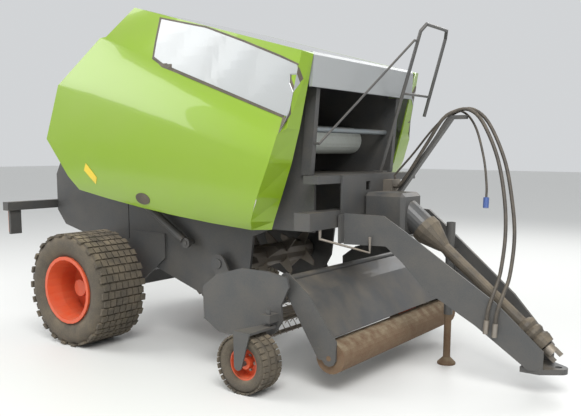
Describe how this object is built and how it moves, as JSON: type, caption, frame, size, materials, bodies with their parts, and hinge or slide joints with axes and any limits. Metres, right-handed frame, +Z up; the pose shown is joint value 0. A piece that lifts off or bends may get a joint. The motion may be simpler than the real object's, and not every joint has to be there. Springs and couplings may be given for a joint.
{
  "type": "round baler",
  "caption": "Towed round baler with chamber, lifting tailgate, side panels, pick-up with press roller, drawbar, drive shaft and parking jack.",
  "frame": {"origin": "middle of the bounding box on the ground", "axes": "+X forward towards the drawbar, +Y to the machine's left, +Z up"},
  "size_m": [5, 2.8, 2.93],
  "materials": {
    "green": "glossy yellow-green paint",
    "silver": "satin silver paint",
    "dark": "dusty dark grey paint",
    "roof": "glossy dark grey",
    "steel": "bare worn steel",
    "red": "orange-red paint",
    "tyre": "worn rubber",
    "hose": "black hose",
    "rust": "rusty worn steel",
    "orange": "orange lens",
    "net": "wound net",
    "guard": "black guard",
    "blue": "blue plug"
  },
  "bodies": {
    "chassis": {"access_step": "steel", "axle_beam": "dark", "bay_bar": "steel", "bay_brace": "dark", "bay_post_left": "dark", "bay_post_right": "dark", "cable_control": "hose", "cable_control_plug": "blue", "chamber_floor": "steel", "chamber_front": "steel", "deck": "dark", "drawbar": "dark", "fascia": "silver", "front_beam": "dark", "front_plate": "dark", "gearbox": "dark", "handrail": "dark", "hose_post": "dark", "hose_pressure": "hose", "hose_pressure_plug": "steel", "hose_return": "hose", "hose_return_plug": "steel", "jack_tube": "dark", "net_roll": "net", "pto_guard": "guard", "roof": "roof", "side_wall_left": "dark", "side_wall_right": "dark", "valve_block": "steel"},
    "tailgate": {"tailgate": "dark", "lamp_beam": "dark", "tail_lamp_left": "orange", "tail_lamp_right": "orange"},
    "pickup": {"pickup_frame": "dark"},
    "reel": {"pickup_reel": "steel"},
    "press": {"crop_guard": "dark"},
    "press_roller": {"crop_roller": "rust"},
    "rotor": {"feed_rotor": "steel"},
    "jack": {"jack_leg": "rust"},
    "drive_shaft": {"pto_shaft": "steel"},
    "wheel_right": {"tyre_right": "tyre", "rim_right": "red"},
    "panel_right": {"side_panel_right": "green"},
    "castor_right": {"gauge_fork_right": "dark"},
    "gauge_wheel_right": {"gauge_tyre_right": "tyre", "gauge_rim_right": "red"},
    "barrel_right": {"cylinder_barrel_right": "dark"},
    "rod_right": {"cylinder_rod_right": "steel"},
    "wheel_left": {"tyre_left": "tyre", "rim_left": "red"},
    "panel_left": {"side_panel_left": "green"},
    "castor_left": {"gauge_fork_left": "dark"},
    "gauge_wheel_left": {"gauge_tyre_left": "tyre", "gauge_rim_left": "red"},
    "barrel_left": {"cylinder_barrel_left": "dark"},
    "rod_left": {"cylinder_rod_left": "steel"}
  },
  "joints": [
    {"name": "tailgate_hinge", "type": "hinge", "parent": "chassis", "child": "tailgate", "pos_m": [-1.365, 0, 2.66], "axis": [0, 1, 0], "range_deg": [0, 70]},
    {"name": "pickup_lift", "type": "hinge", "parent": "chassis", "child": "pickup", "pos_m": [-0.2, 0, 0.8], "axis": [0, -1, 0], "range_deg": [0, 12]},
    {"name": "reel_spin", "type": "hinge", "parent": "pickup", "child": "reel", "pos_m": [0.45, 0, 0.46], "axis": [0, 1, 0], "continuous": true},
    {"name": "rotor_spin", "type": "hinge", "parent": "chassis", "child": "rotor", "pos_m": [-0.2, 0, 0.8], "axis": [0, 1, 0], "continuous": true},
    {"name": "press_swing", "type": "hinge", "parent": "pickup", "child": "press", "pos_m": [0.72, 0, 0.8], "axis": [0, -1, 0], "range_deg": [0, 15]},
    {"name": "roller_spin", "type": "hinge", "parent": "press", "child": "press_roller", "pos_m": [1.1, 0, 0.27], "axis": [0, 1, 0], "continuous": true},
    {"name": "pto_spin", "type": "hinge", "parent": "chassis", "child": "drive_shaft", "pos_m": [1.34, 0, 1.155], "axis": [0.7763, 0, -0.6303], "continuous": true},
    {"name": "jack_slide", "type": "slide", "parent": "chassis", "child": "jack", "axis": [0, 0, 1], "range_m": [0, 0.3]},
    {"name": "wheel_right_spin", "type": "hinge", "parent": "chassis", "child": "wheel_right", "pos_m": [-1.5, -1.03, 0.505], "axis": [0, 1, 0], "continuous": true},
    {"name": "panel_right_hinge", "type": "hinge", "parent": "chassis", "child": "panel_right", "pos_m": [-0.94, -0.8, 2.925], "axis": [-0.9646, 0, 0.2638], "range_deg": [0, 60]},
    {"name": "castor_right_swivel", "type": "hinge", "parent": "pickup", "child": "castor_right", "pos_m": [0.66, -1.13, 0.5], "axis": [0, 0, 1], "range_deg": [-15, 15]},
    {"name": "gauge_right_spin", "type": "hinge", "parent": "castor_right", "child": "gauge_wheel_right", "pos_m": [0.59, -1.27, 0.222], "axis": [0, 1, 0], "continuous": true},
    {"name": "cylinder_right_foot", "type": "hinge", "parent": "chassis", "child": "barrel_right", "pos_m": [-0.55, -0.715, 0.95], "axis": [0, 1, 0], "range_deg": [0, 13.69]},
    {"name": "cylinder_right_rod", "type": "slide", "parent": "barrel_right", "child": "rod_right", "axis": [-0.8517, 0, 0.5241], "range_m": [0, 1.0837]},
    {"name": "wheel_left_spin", "type": "hinge", "parent": "chassis", "child": "wheel_left", "pos_m": [-1.5, 1.03, 0.505], "axis": [0, 1, 0], "continuous": true},
    {"name": "panel_left_hinge", "type": "hinge", "parent": "chassis", "child": "panel_left", "pos_m": [-0.94, 0.8, 2.925], "axis": [0.9646, 0, -0.2638], "range_deg": [0, 60]},
    {"name": "castor_left_swivel", "type": "hinge", "parent": "pickup", "child": "castor_left", "pos_m": [0.66, 1.13, 0.5], "axis": [0, 0, 1], "range_deg": [-15, 15]},
    {"name": "gauge_left_spin", "type": "hinge", "parent": "castor_left", "child": "gauge_wheel_left", "pos_m": [0.59, 1.27, 0.222], "axis": [0, 1, 0], "continuous": true},
    {"name": "cylinder_left_foot", "type": "hinge", "parent": "chassis", "child": "barrel_left", "pos_m": [-0.55, 0.715, 0.95], "axis": [0, 1, 0], "range_deg": [0, 13.69]},
    {"name": "cylinder_left_rod", "type": "slide", "parent": "barrel_left", "child": "rod_left", "axis": [-0.8517, 0, 0.5241], "range_m": [0, 1.0837]}
  ],
  "couplings": [
    {"joint": "cylinder_right_foot", "follows": "tailgate_hinge", "ratio": 0.19543},
    {"joint": "cylinder_right_rod", "follows": "tailgate_hinge", "m_per_rad": 0.8866},
    {"joint": "cylinder_left_foot", "follows": "tailgate_hinge", "ratio": 0.19543},
    {"joint": "cylinder_left_rod", "follows": "tailgate_hinge", "m_per_rad": 0.8866}
  ]
}
